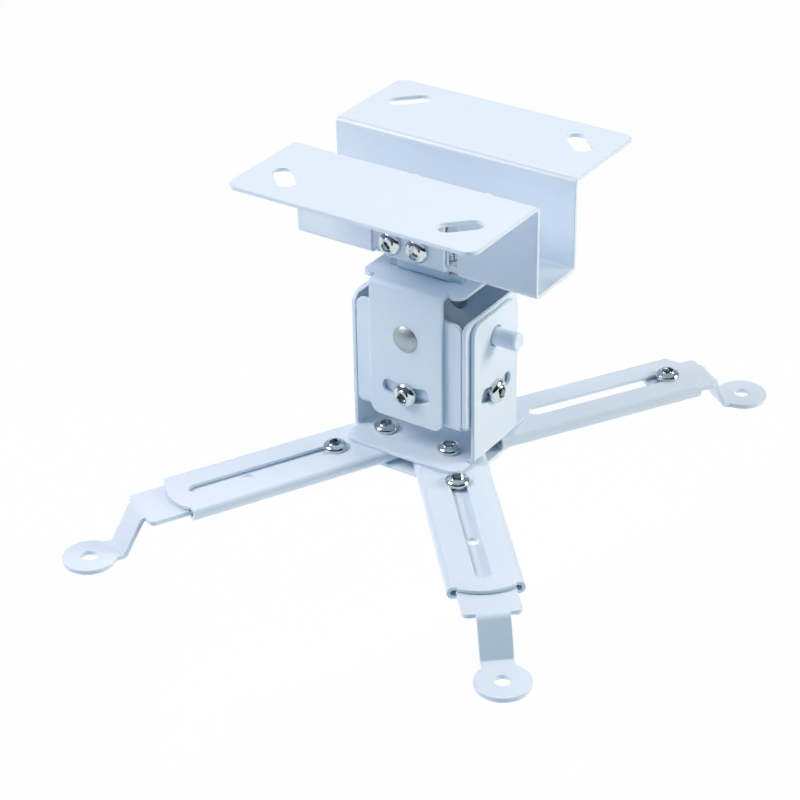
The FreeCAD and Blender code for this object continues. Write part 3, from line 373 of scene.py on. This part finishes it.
# The rings of each fastener, as shares of its sizes: (radius, six-sidedness, height)
ORIGIN = (0, 0, 0)
SOCKET_RINGS = ((0, 0, -1.12), (0.86, 1, -1), (1, 1, -0.97), (1, 1, -0.10), (1.10, 0.35, -0.015))
RINGS_IN_SOCKET = 4
DOME_ANGLES = (36, 43, 50, 57, 65, 73, 80, 86)
DOME_FULLNESS = 0.9
SIDE_RINGS = ((1, 0, 0.85), (1, 0, 0.25), (0.985, 0, 0.06), (0.955, 0, 0), (0, 0, 0))
NUT_RINGS = ((0.83, 0, 1), (0.86, 0.1, 0.99), (0.97, 0.85, 0.92), (1, 1, 0.87),
             (1, 1, 0.13), (0.97, 0.85, 0.08), (0.86, 0.1, 0.01), (0.83, 0, 0))
BORE_TOP_RINGS = ((1, 0, 0.9), (1.14, 0, 1))
BORE_FOOT_RINGS = ((1.14, 0, 0), (1, 0, 0.1), (1, 0, 0.9))
RIVET_RINGS = ((0, 0, 1), (0.2, 0, 0.97), (0.4, 0, 0.88), (0.58, 0, 0.74), (0.74, 0, 0.56),
               (0.87, 0, 0.36), (0.95, 0, 0.2), (0.99, 0, 0.1), (1, 0, 0.04), (0.985, 0, 0))
RIVET_SHANK_RINGS = ((1, 0, 0), (1, 0, -1))
TAIL_RINGS = ((0.96, 0, 0), (1, 0, -0.15), (1, 0, -0.7), (0.9, 0, -0.93), (0.7, 0, -1),
              (0, 0, -0.9))


def button_screw_tree(turns):
    # button-head screw: a domed head with a six-sided socket, on a threaded shank
    tree, given = start_tree("button_head_screw_%d" % turns, (
        "Head Radius", "Head Height", "Rim Height", "Socket Radius", "Socket Depth",
        "Shank Radius", "Length", "Pitch"))
    dome_height = add(tree, "ShaderNodeMath", {"operation": "SUBTRACT"},
                      {0: given["Head Height"], 1: given["Rim Height"]}).outputs[0]
    socket = add(tree, "ShaderNodeCombineXYZ", None,
                 {0: given["Socket Radius"], 1: 1.0, 2: given["Socket Depth"]}).outputs[0]
    top = add(tree, "ShaderNodeCombineXYZ", None, {2: given["Head Height"]}).outputs[0]
    dome = add(tree, "ShaderNodeCombineXYZ", None,
               {0: given["Head Radius"], 2: dome_height}).outputs[0]
    rim = add(tree, "ShaderNodeCombineXYZ", None, {2: given["Rim Height"]}).outputs[0]
    side = add(tree, "ShaderNodeCombineXYZ", None,
               {0: given["Head Radius"], 2: given["Rim Height"]}).outputs[0]
    rings = [ring_from(tree, socket, share, top) for share in SOCKET_RINGS]
    # the dome starts a sixth wider than the socket
    for angle in DOME_ANGLES:
        share = (math.sin(math.radians(angle)), 0, math.cos(math.radians(angle)) ** DOME_FULLNESS)
        rings.append(ring_from(tree, dome, share, rim))
    rings += [ring_from(tree, side, share, ORIGIN) for share in SIDE_RINGS]
    head = turn_rings(tree, rings, RINGS_IN_SOCKET)
    shank = threaded_shank(tree, given["Shank Radius"], given["Length"], given["Pitch"], turns)
    whole = add(tree, "GeometryNodeJoinGeometry")
    tree.links.new(shank, whole.inputs[0])
    tree.links.new(head, whole.inputs[0])
    return seat_and_finish(tree, given, whole.outputs[0])


def hexagon_nut_tree():
    # six-sided nut with chamfered corners and a countersunk bore
    tree, given = start_tree("hexagon_nut", ("Corner Radius", "Height", "Bore Radius"))
    nut = add(tree, "ShaderNodeCombineXYZ", None,
              {0: given["Corner Radius"], 1: 1.0, 2: given["Height"]}).outputs[0]
    bore = add(tree, "ShaderNodeCombineXYZ", None,
               {0: given["Bore Radius"], 2: given["Height"]}).outputs[0]
    rings = [ring_from(tree, bore, share, ORIGIN) for share in BORE_TOP_RINGS]
    rings += [ring_from(tree, nut, share, ORIGIN) for share in NUT_RINGS]
    rings += [ring_from(tree, bore, share, ORIGIN) for share in BORE_FOOT_RINGS]
    return seat_and_finish(tree, given, turn_rings(tree, rings))


def rivet_tree():
    # rivet: a shallow dome with a rounded rim, a plain shank and a formed tail
    tree, given = start_tree("domed_rivet", (
        "Head Radius", "Dome Height", "Shank Radius", "Grip", "Tail Radius", "Tail Height"))
    dome = add(tree, "ShaderNodeCombineXYZ", None,
               {0: given["Head Radius"], 2: given["Dome Height"]}).outputs[0]
    shank = add(tree, "ShaderNodeCombineXYZ", None,
                {0: given["Shank Radius"], 2: given["Grip"]}).outputs[0]
    tail = add(tree, "ShaderNodeCombineXYZ", None,
               {0: given["Tail Radius"], 2: given["Tail Height"]}).outputs[0]
    tail_base = add(tree, "ShaderNodeVectorMath", {"operation": "MULTIPLY"},
                    {0: shank, 1: (0, 0, -1)}).outputs[0]
    rings = [ring_from(tree, dome, share, ORIGIN) for share in RIVET_RINGS]
    rings += [ring_from(tree, shank, share, ORIGIN) for share in RIVET_SHANK_RINGS]
    rings += [ring_from(tree, tail, share, tail_base) for share in TAIL_RINGS]
    return seat_and_finish(tree, given, turn_rings(tree, rings))


def fasten(name, tree, sizes, seats, body, slot, node):
    # Fasteners of one kind at their seats. A seat is a place in millimetres, the way that
    # the head points, and the spin in degrees at which tightening left it.
    mesh = bpy.data.meshes.new(name)
    mesh.from_pydata([[value * MM for value in place] for place, way, spin in seats], [], [])
    mesh.attributes.new("way", "FLOAT_VECTOR", "POINT")
    mesh.attributes.new("spin", "FLOAT", "POINT")
    for index, (place, way, spin) in enumerate(seats):
        mesh.attributes["way"].data[index].vector = way
        mesh.attributes["spin"].data[index].value = math.radians(spin)
    piece = new_object(name, mesh)
    former = piece.modifiers.new("fasteners", "NODES")
    former.node_group = tree
    values = {key: value * MM for key, value in sizes.items()}
    values["Finish"] = FINISHES[slot]
    for item in tree.interface.items_tree:
        if item.in_out == "INPUT" and item.name in values:
            former[item.identifier] = values[item.name]
    bpy.context.view_layer.update()
    evaluated = piece.evaluated_get(bpy.context.evaluated_depsgraph_get())
    made = bpy.data.meshes.new_from_object(evaluated)
    piece.modifiers.remove(former)
    piece.data = made
    made.materials.clear()
    made.materials.append(FINISHES[slot])
    for face in made.polygons:
        face.material_index = 0
    made.shade_smooth()
    made.set_sharp_from_angle(angle=SHARP_ANGLE)
    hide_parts(node)
    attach(piece, body)


def soften(name, node, body, slot, edge):
    # the node's own form with its cut edges rounded, as coated or tumbled metal has them
    shape = bmesh.new()
    shape.from_mesh(frame["nodes"][node].data)
    bmesh.ops.remove_doubles(shape, verts=shape.verts, dist=FOLDED_WELD)
    bmesh.ops.dissolve_limit(shape, angle_limit=FLAT_ANGLE, verts=shape.verts, edges=shape.edges)
    mesh = bpy.data.meshes.new(name)
    shape.to_mesh(mesh)
    shape.free()
    for extra in ("custom_normal", "sharp_edge", "sharp_face"):
        if extra in mesh.attributes:
            mesh.attributes.remove(mesh.attributes[extra])
    mesh.shade_smooth()
    mesh.materials.clear()
    mesh.materials.append(FINISHES[slot])
    piece = new_object(name, mesh)
    rounding = piece.modifiers.new("rounded edges", "BEVEL")
    rounding.width = edge * MM
    rounding.segments = EDGE_SEGMENTS
    rounding.limit_method = "ANGLE"
    rounding.angle_limit = SHARP_ANGLE
    rounding.use_clamp_overlap = False
    rounding.loop_slide = False
    evening = piece.modifiers.new("even shading", "WEIGHTED_NORMAL")
    evening.keep_sharp = True
    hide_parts(node)
    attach(piece, body)


# Steel in white powder coat, then the zinc-plated bars and sleeves: the piece, its node and
# body, and how far its cut edges are rounded, in millimetres
COATED = (
    ("hat_shaped_ceiling_plate", "ceiling_plate", "ceiling", 0.4),
    ("channel_adapter", "adapter_bracket", "ceiling", 0.35),
    ("swivelling_upper_yoke", "upper_yoke", "yoke", 0.4),
    ("open_cross_box", "cross_box", "cross", 0.4),
    ("tilt_pin", "tilt_pin_right", "cross", 0.2),
    ("tilting_lower_yoke", "lower_yoke", "lower", 0.4),
    ("arm_clamp_plate", "clamp_plate", "lower", 0.4),
    ("slotted_arm_left", "arm_channel_left", "arm_left", 0.3),
    ("slotted_arm_front", "arm_channel_front", "arm_front", 0.3),
    ("slotted_arm_rear", "arm_channel_rear", "arm_rear", 0.3),
    ("eye_slider_left", "arm_slider_left", "slider_left", 0.4),
    ("eye_slider_front", "arm_slider_front", "slider_front", 0.4),
    ("eye_slider_rear", "arm_slider_rear", "slider_rear", 0.4),
)
PLATED = (
    ("threaded_bar_front", "adapter_bar_front", "ceiling", 0.3),
    ("threaded_bar_rear", "adapter_bar_rear", "ceiling", 0.3),
    ("arm_sleeves", "arm_pivot_sleeves", "lower", 0.3),
)
for name, node, body, edge in COATED:
    soften(name, node, body, "white_powder_coat", edge)
for name, node, body, edge in PLATED:
    soften(name, node, body, "zinc_plated_steel", edge)

# M6 sizes in millimetres. The socket's corners reach 0.3 mm past the standard's.
SCREW = {"Head Radius": 5.25, "Head Height": 3.3, "Rim Height": 0.9, "Socket Radius": 2.65,
         "Socket Depth": 2.1, "Shank Radius": 3.0, "Pitch": 1.0}
NUT = {"Corner Radius": 5.77, "Height": 5.0, "Bore Radius": 3.0}
RIVET = {"Head Radius": 5.9, "Dome Height": 2.4, "Shank Radius": 3.0, "Grip": 4.0,
         "Tail Radius": 3.85, "Tail Height": 1.2}

LEFT, RIGHT = (-1, 0, 0), (1, 0, 0)
FRONT, REAR = (0, -1, 0), (0, 1, 0)
UP, DOWN = (0, 0, 1), (0, 0, -1)

# Heights below the ceiling face, in millimetres
WEB_SCREWS = -33.5
BRACKET_FLOOR = -46.4
YOKE_UNDER = -50.0
PIVOT = -71.6
LOCK = -97.6
BASE_PLATE = -123.7
CLAMP_UNDER = -132.7
# Distances from the upright axis and the arm pivots' places, in millimetres
WEB = 15.5
WEB_FAR = 11
WEB_NEAR = 2
SWIVEL = 8
YOKE_FACE = 22.5
BOX_INSIDE = 18.5
BOX_END_INSIDE = 26.0
LOWER_FACE = 30.0
ARM_PIVOTS = ((-16.0, -14.2), (16.0, -14.2), (17.3, 16.3))


def on_pivots(height, way, spins):
    # a seat at each arm's pivot
    return [((*spot, height), way, spin) for spot, spin in zip(ARM_PIVOTS, spins)]


def on_slider(side, spin):
    # the seat of a slider's screw, under its head
    low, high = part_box("slide_screw_" + side)
    place = ((low.x + high.x) / 2 / MM, (low.y + high.y) / 2 / MM,
             high.z / MM - SCREW["Head Height"])
    return [(place, UP, spin)]


# Screws: the piece, its node and body, its length in millimetres and its seats
SCREWS = (
    ("channel_screws", "adapter_screws", "ceiling", 8,
     [((-WEB_FAR, -WEB, WEB_SCREWS), FRONT, 12), ((WEB_NEAR, -WEB, WEB_SCREWS), FRONT, 40),
      ((WEB_FAR, WEB, WEB_SCREWS), REAR, 5), ((-WEB_NEAR, WEB, WEB_SCREWS), REAR, 31)]),
    ("swivel_screws", "swivel_bolts", "ceiling", 12,
     [((-SWIVEL, 0, YOKE_UNDER), DOWN, 8), ((SWIVEL, 0, YOKE_UNDER), DOWN, 22)]),
    ("roll_screws", "roll_lock_screws", "cross", 10,
     [((0, -YOKE_FACE, LOCK), FRONT, 18), ((0, YOKE_FACE, LOCK), REAR, 50)]),
    ("tilt_screws", "tilt_lock_screws", "cross", 10,
     [((-LOWER_FACE, 0, LOCK), LEFT, 3), ((LOWER_FACE, 0, LOCK), RIGHT, 26)]),
    ("pivot_screws", "arm_pivot_screws", "lower", 16, on_pivots(BASE_PLATE, UP, (10, 33, 51))),
    ("slider_screw_left", "slide_screw_left", "slider_left", 6, on_slider("left", 14)),
    ("slider_screw_front", "slide_screw_front", "slider_front", 6, on_slider("front", 27)),
    ("slider_screw_rear", "slide_screw_rear", "slider_rear", 6, on_slider("rear", 45)),
)
# with a pitch of 1 mm, a shank has as many turns as millimetres
lengths = sorted({length for name, node, body, length, seats in SCREWS})
screw_trees = {length: button_screw_tree(length) for length in lengths}
for name, node, body, length, seats in SCREWS:
    fasten(name, screw_trees[length], {**SCREW, "Length": length}, seats, body,
           "bright_nickel_screw", node)

NUTS = (
    ("swivel_hexagons", "swivel_nuts", "ceiling",
     [((-SWIVEL, 0, BRACKET_FLOOR), UP, 0), ((SWIVEL, 0, BRACKET_FLOOR), UP, 0)]),
    ("roll_hexagons", "roll_lock_nuts", "cross",
     [((0, -BOX_INSIDE, LOCK), REAR, 0), ((0, BOX_INSIDE, LOCK), FRONT, 0)]),
    ("tilt_hexagons", "tilt_lock_nuts", "cross",
     [((-BOX_END_INSIDE, 0, LOCK), RIGHT, 0), ((BOX_END_INSIDE, 0, LOCK), LEFT, 0)]),
    ("pivot_hexagons", "arm_pivot_nuts", "lower", on_pivots(CLAMP_UNDER, DOWN, (4, 17, 38))),
)
nut_tree = hexagon_nut_tree()
for name, node, body, seats in NUTS:
    fasten(name, nut_tree, NUT, seats, body, "zinc_plated_steel", node)

RIVETS = (
    ("roll_rivet_dome_front", "roll_rivet_front", (0, -YOKE_FACE, PIVOT), FRONT),
    ("roll_rivet_dome_rear", "roll_rivet_rear", (0, YOKE_FACE, PIVOT), REAR),
    ("tilt_rivet_dome_left", "tilt_rivet_left", (-LOWER_FACE, 0, PIVOT), LEFT),
)
domed_rivet = rivet_tree()
for name, node, place, way in RIVETS:
    fasten(name, domed_rivet, RIVET, [(place, way, 0)], "cross", "nickel_rivet", node)


# Stage: floor, card, air, lamps and camera, in metres
FLOOR_REACH = 6.0
# the mount hangs clear of the floor, so that its lowest pose stays above it
FLOOR_DROP = 90 * MM
# how much of the floor's white comes from itself where it is seen or mirrored
FLOOR_GLOW = 0.95
CARD_REACH = 1.3
CARD_HEIGHT = 1.5

# What the air of the studio sends from each side: its direction and its linear light
AIR = (((0.0, 0.0, 1.0), (0.03, 0.06, 0.08)),
       ((-0.56, 0.83, 0.0), (0.40, 0.46, 0.60)),
       ((-0.83, -0.56, 0.0), (0.16, 0.19, 0.22)))

# Lamps: place, width, power in watts, linear colour, and whether reflections show it
LAMPS = (
    ("left_softbox", (-0.80, -0.60, 0.85), 0.7, 12.8, (1.0, 0.96, 0.93), True),
    ("right_softbox", (1.15, 0.75, 0.5), 0.8, 15.6, (1.0, 0.98, 0.83), True),
    ("rear_softbox", (-0.5, 1.1, 1.2), 0.9, 5.6, (1.0, 0.97, 0.92), True),
    ("top_softbox", (0.0, 0.1, 1.9), 1.6, 2.0, (1.0, 0.90, 0.92), True),
    ("blue_fill", (0.75, -1.15, 0.65), 0.4, 2.6, (0.02, 0.60, 1.0), False),
)
# the point that the lamps face
LIT_POINT = (0, 0, -0.08)


def studio_square(name, reach, height, material):
    # a level square of the stage, not part of the mount
    mesh = bpy.data.meshes.new(name)
    mesh.from_pydata([(-reach, -reach, height), (reach, -reach, height), (reach, reach, height),
                      (-reach, reach, height)], [], [(0, 1, 2, 3)])
    mesh.materials.append(material)
    piece = new_object(name, mesh)
    return piece


def floor():
    # matt white, and as bright as the white behind it where it is seen or mirrored
    material, tree = new_material("matt_white_floor")
    seen = add(tree, "ShaderNodeLightPath").outputs
    shader = add(tree, "ShaderNodeBsdfDiffuse", None, {"Color": tint("#F2F4F8")})
    glow = add(tree, "ShaderNodeEmission", None, {"Color": tint("#FFFFFF"), "Strength": 1.0})
    direct = add(tree, "ShaderNodeMath", {"operation": "MAXIMUM"},
                 {0: seen["Is Camera Ray"], 1: seen["Is Glossy Ray"]}).outputs[0]
    share = add(tree, "ShaderNodeMath", {"operation": "MULTIPLY"}, {0: direct, 1: FLOOR_GLOW})
    mixed = add(tree, "ShaderNodeMixShader", None,
                {0: share.outputs[0], 1: shader.outputs[0], 2: glow.outputs[0]})
    add(tree, "ShaderNodeOutputMaterial", None, {0: mixed.outputs[0]})
    studio_square("studio_floor", FLOOR_REACH, cad_low.z - FLOOR_DROP, material)


def overhead_card():
    # a grey card above the mount that only reflections see, as a mid tone in the domes
    material, tree = new_material("grey_card")
    glow = add(tree, "ShaderNodeEmission", None, {"Color": tint("#A6B4B8"), "Strength": 1.0})
    add(tree, "ShaderNodeOutputMaterial", None, {0: glow.outputs[0]})
    card = studio_square("overhead_card", CARD_REACH, CARD_HEIGHT, material)
    card.visible_camera = False
    card.visible_diffuse = False
    card.visible_shadow = False


def world():
    # plain white behind the mount, and the light of the air on it
    space = bpy.data.worlds.new("studio_air")
    space.use_nodes = True
    tree = space.node_tree
    tree.nodes.clear()
    seen = add(tree, "ShaderNodeLightPath").outputs["Is Camera Ray"]
    way = add(tree, "ShaderNodeTexCoord").outputs["Generated"]
    total = (0.0, 0.0, 0.0)
    for axis, light in AIR:
        share = add(tree, "ShaderNodeVectorMath", {"operation": "DOT_PRODUCT"},
                    {0: way, 1: axis}).outputs["Value"]
        facing = add(tree, "ShaderNodeMath", {"operation": "MAXIMUM"},
                     {0: share, 1: 0.0}).outputs[0]
        total = add(tree, "ShaderNodeVectorMath", {"operation": "MULTIPLY_ADD"},
                    {0: facing, 1: light, 2: total}).outputs[0]
    air = add(tree, "ShaderNodeBackground", None, {"Color": total, "Strength": 1.0})
    back = add(tree, "ShaderNodeBackground", None, {"Color": tint("#FFFFFF"), "Strength": 1.0})
    mixed = add(tree, "ShaderNodeMixShader", None,
                {0: seen, 1: air.outputs[0], 2: back.outputs[0]})
    add(tree, "ShaderNodeOutputWorld", None, {0: mixed.outputs[0]})
    bpy.context.scene.world = space


def area_light(name, place, size, power, colour, mirrored):
    # a round softbox
    data = bpy.data.lights.new(name, "AREA")
    data.shape = "DISK"
    data.size = size
    data.energy = power
    data.color = colour
    lamp = new_object(name, data)
    lamp.visible_glossy = mirrored
    lamp.location = place
    aim = Vector(LIT_POINT) - Vector(place)
    lamp.rotation_euler = aim.to_track_quat("-Z", "Y").to_euler()


floor()
world()
overhead_card()
for lamp_facts in LAMPS:
    area_light(*lamp_facts)

camera_data = bpy.data.cameras.new("view_of_the_mount")
camera_data.lens = CAMERA_LENS
camera_data.sensor_width = CAMERA_SENSOR
camera_data.clip_start = CAMERA_NEAR
camera_data.clip_end = CAMERA_FAR
camera = new_object("view_of_the_mount", camera_data)
bearing, height, roll = (math.radians(a) for a in (CAMERA_BEARING, CAMERA_HEIGHT, CAMERA_ROLL))
level_right = Vector((math.cos(bearing), math.sin(bearing), 0))
backward = Vector((math.sin(bearing) * math.cos(height), -math.cos(bearing) * math.cos(height),
                   math.sin(height)))
level_up = backward.cross(level_right)
across = level_right * math.cos(roll) + level_up * math.sin(roll)
upward = level_up * math.cos(roll) - level_right * math.sin(roll)
turned = Matrix((across, upward, backward)).transposed().to_4x4()
camera.matrix_world = Matrix.Translation([value * MM for value in CAMERA_PLACE]) @ turned
bpy.context.scene.camera = camera
bpy.context.scene.view_settings.view_transform = "Standard"
